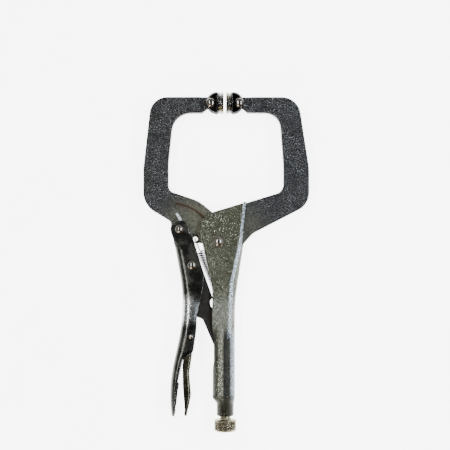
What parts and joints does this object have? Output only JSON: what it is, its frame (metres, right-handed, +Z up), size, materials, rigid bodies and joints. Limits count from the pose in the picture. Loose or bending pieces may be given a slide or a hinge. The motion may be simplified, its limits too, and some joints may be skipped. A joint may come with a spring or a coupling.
{
  "type": "locking pliers",
  "caption": "C-clamp locking pliers with swivel pads: two deep forged jaws, an over-centre toggle grip with a release lever, and a knurled screw that sets the opening.",
  "frame": {"origin": "middle of the tool's length and width, on the surface it lies flat on", "axes": "+Y along the tool from the screw's knob to the pads, +X from the movable jaw to the fixed jaw, +Z up along the rivets"},
  "size_m": [0.1358, 0.2783, 0.0204],
  "materials": {
    "plated_sheet": "mottled satin plating",
    "forged_steel": "rough forged, dark",
    "forged_jaw": "rough forged, plated",
    "polished_sheet": "dark polished",
    "release_sheet": "dark satin",
    "dark_steel": "dark satin",
    "rivet_steel": "polished",
    "screw_steel": "satin, plated",
    "knob_brass": "knurled, plated",
    "spring_wire": "dark satin",
    "pad_steel": "turned bright",
    "yoke_black": "black polished"
  },
  "bodies": {
    "handle": {"handle": "plated_sheet", "fixed_jaw": "forged_steel", "jaw_rivet": "rivet_steel"},
    "jaw": {"movable_jaw": "forged_jaw", "jaw_spring": "spring_wire"},
    "lever": {"hand_lever": "polished_sheet", "lever_rivet": "rivet_steel", "link_rivet": "rivet_steel", "release_pin": "rivet_steel"},
    "link": {"toggle_link": "dark_steel"},
    "release": {"release_lever": "release_sheet"},
    "screw": {"adjusting_screw": "screw_steel"},
    "knob": {"screw_knob": "knob_brass"},
    "fixed_pad_pivot": {"fixed_pad_rivet": "rivet_steel"},
    "fixed_pad": {"fixed_pad_disc": "pad_steel", "fixed_pad_yoke": "yoke_black"},
    "movable_pad_pivot": {"movable_pad_rivet": "rivet_steel"},
    "movable_pad": {"movable_pad_disc": "pad_steel", "movable_pad_yoke": "yoke_black"}
  },
  "joints": [
    {"name": "jaw_open", "type": "hinge", "parent": "handle", "child": "jaw", "pos_m": [-0.00655, 0.01665, 0.0102], "axis": [0, 0, 1], "range_deg": [0, 40], "deforming": ["jaw_spring"]},
    {"name": "lever_fold", "type": "hinge", "parent": "jaw", "child": "lever", "pos_m": [-0.03825, 0.02675, 0.0102], "axis": [0, 0, 1], "range_deg": [-98, 0]},
    {"name": "link_fold", "type": "hinge", "parent": "lever", "child": "link", "pos_m": [-0.02795, -0.00265, 0.0102], "axis": [0, 0, 1], "range_deg": [0, 84]},
    {"name": "release_squeeze", "type": "hinge", "parent": "lever", "child": "release", "pos_m": [-0.02895, -0.06085, 0.0102], "axis": [0, 0, 1], "range_deg": [-7.5, 0]},
    {"name": "screw_travel", "type": "slide", "parent": "handle", "child": "screw", "axis": [0, -1, 0], "range_m": [0, 0.03]},
    {"name": "knob_turn", "type": "hinge", "parent": "screw", "child": "knob", "pos_m": [-0.00085, -0.13335, 0.0102], "axis": [0, -1, 0], "range_deg": [0, 7200]},
    {"name": "fixed_pad_rock", "type": "hinge", "parent": "handle", "child": "fixed_pad_pivot", "pos_m": [0.0105, 0.13025, 0.0102], "axis": [0, 1, 0], "range_deg": [-5, 5]},
    {"name": "fixed_pad_turn", "type": "hinge", "parent": "fixed_pad_pivot", "child": "fixed_pad", "pos_m": [0.0105, 0.13025, 0.0102], "axis": [0, 0, 1], "range_deg": [-12, 12]},
    {"name": "movable_pad_rock", "type": "hinge", "parent": "jaw", "child": "movable_pad_pivot", "pos_m": [-0.0128, 0.13025, 0.0102], "axis": [0, 1, 0], "range_deg": [-5, 5]},
    {"name": "movable_pad_turn", "type": "hinge", "parent": "movable_pad_pivot", "child": "movable_pad", "pos_m": [-0.0128, 0.13025, 0.0102], "axis": [0, 0, 1], "range_deg": [-12, 12]}
  ],
  "couplings": [
    {"joint": "lever_fold", "follows": "jaw_open", "ratio": -2.4275},
    {"joint": "link_fold", "follows": "jaw_open", "ratio": 2.07},
    {"joint": "knob_turn", "follows": "screw_travel", "rad_per_m": 4188.8}
  ]
}
